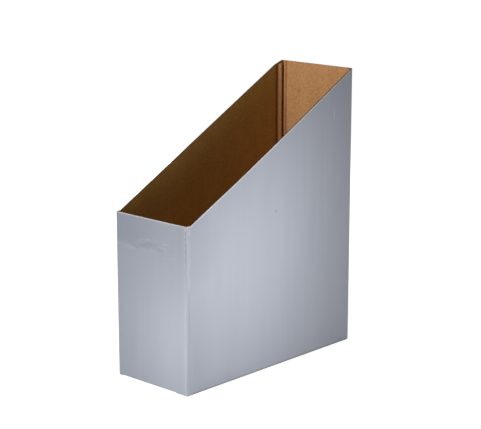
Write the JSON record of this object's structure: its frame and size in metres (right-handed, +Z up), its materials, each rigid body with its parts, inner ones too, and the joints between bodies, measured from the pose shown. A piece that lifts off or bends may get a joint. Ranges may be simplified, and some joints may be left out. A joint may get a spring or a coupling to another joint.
{
  "type": "magazine file",
  "caption": "Open-topped magazine file of folded corrugated board, silver outside and kraft inside, with a tall back, sloping sides and a low front. It folds flat at its creases.",
  "frame": {"origin": "centre of the footprint, on the surface that the file stands on", "axes": "+Z up, -Y the low front, +Y the tall back, +X the right side as seen from the front"},
  "size_m": [0.1, 0.25, 0.3],
  "materials": {
    "silver_paper": "satin metallic silver print",
    "kraft_paper": "matt brown kraft",
    "fluting_paper": "matt brown kraft"
  },
  "bodies": {
    "right_side": {"right_side_outer_liner": "silver_paper", "right_side_fluting": "fluting_paper", "right_side_inner_liner": "kraft_paper"},
    "front": {"front_outer_liner": "silver_paper", "front_fluting": "fluting_paper", "front_inner_liner": "kraft_paper"},
    "back": {"back_outer_liner": "silver_paper", "back_fluting": "fluting_paper", "back_inner_liner": "kraft_paper"},
    "left_side": {"left_side_outer_liner": "silver_paper", "left_side_fluting": "fluting_paper", "left_side_inner_liner": "kraft_paper", "glue_flap_outer_liner": "silver_paper", "glue_flap_fluting": "fluting_paper", "glue_flap_inner_liner": "kraft_paper"},
    "base": {"base_outer_liner": "silver_paper", "base_fluting": "fluting_paper", "base_inner_liner": "kraft_paper"},
    "tuck_flap": {"tuck_flap_outer_liner": "silver_paper", "tuck_flap_fluting": "fluting_paper", "tuck_flap_inner_liner": "kraft_paper"},
    "front_dust_flap": {"front_dust_flap_outer_liner": "silver_paper", "front_dust_flap_fluting": "fluting_paper", "front_dust_flap_inner_liner": "kraft_paper"},
    "back_dust_flap": {"back_dust_flap_outer_liner": "silver_paper", "back_dust_flap_fluting": "fluting_paper", "back_dust_flap_inner_liner": "kraft_paper"}
  },
  "joints": [
    {"name": "back_crease", "type": "hinge", "parent": "right_side", "child": "back", "pos_m": [0.05, 0.125, 0.00175], "axis": [0, 0, -1], "range_deg": [0, 80]},
    {"name": "front_crease", "type": "hinge", "parent": "right_side", "child": "front", "pos_m": [0.0484, -0.1234, 0.00175], "axis": [0, 0, -1], "range_deg": [0, 80]},
    {"name": "left_crease", "type": "hinge", "parent": "back", "child": "left_side", "pos_m": [-0.0468, 0.1234, 0], "axis": [0, 0, 1], "range_deg": [0, 80]},
    {"name": "base_crease", "type": "hinge", "parent": "right_side", "child": "base", "pos_m": [0.05, 0, 0], "axis": [0, -1, 0], "range_deg": [0, 80]},
    {"name": "tuck_crease", "type": "hinge", "parent": "base", "child": "tuck_flap", "pos_m": [-0.04665, 0, 0.0016], "axis": [0, 1, 0], "range_deg": [0, 88]},
    {"name": "front_dust_crease", "type": "hinge", "parent": "front", "child": "front_dust_flap", "pos_m": [0, -0.1234, 0.00335], "axis": [1, 0, 0], "range_deg": [0, 80]},
    {"name": "back_dust_crease", "type": "hinge", "parent": "back", "child": "back_dust_flap", "pos_m": [0, 0.1234, 0.00335], "axis": [-1, 0, 0], "range_deg": [0, 80]}
  ],
  "couplings": [
    {"joint": "front_crease", "follows": "back_crease", "ratio": 1},
    {"joint": "left_crease", "follows": "back_crease", "ratio": 1},
    {"joint": "base_crease", "follows": "back_crease", "ratio": 1},
    {"joint": "tuck_crease", "follows": "back_crease", "ratio": 1.1},
    {"joint": "front_dust_crease", "follows": "back_crease", "ratio": 1},
    {"joint": "back_dust_crease", "follows": "back_crease", "ratio": 1}
  ]
}
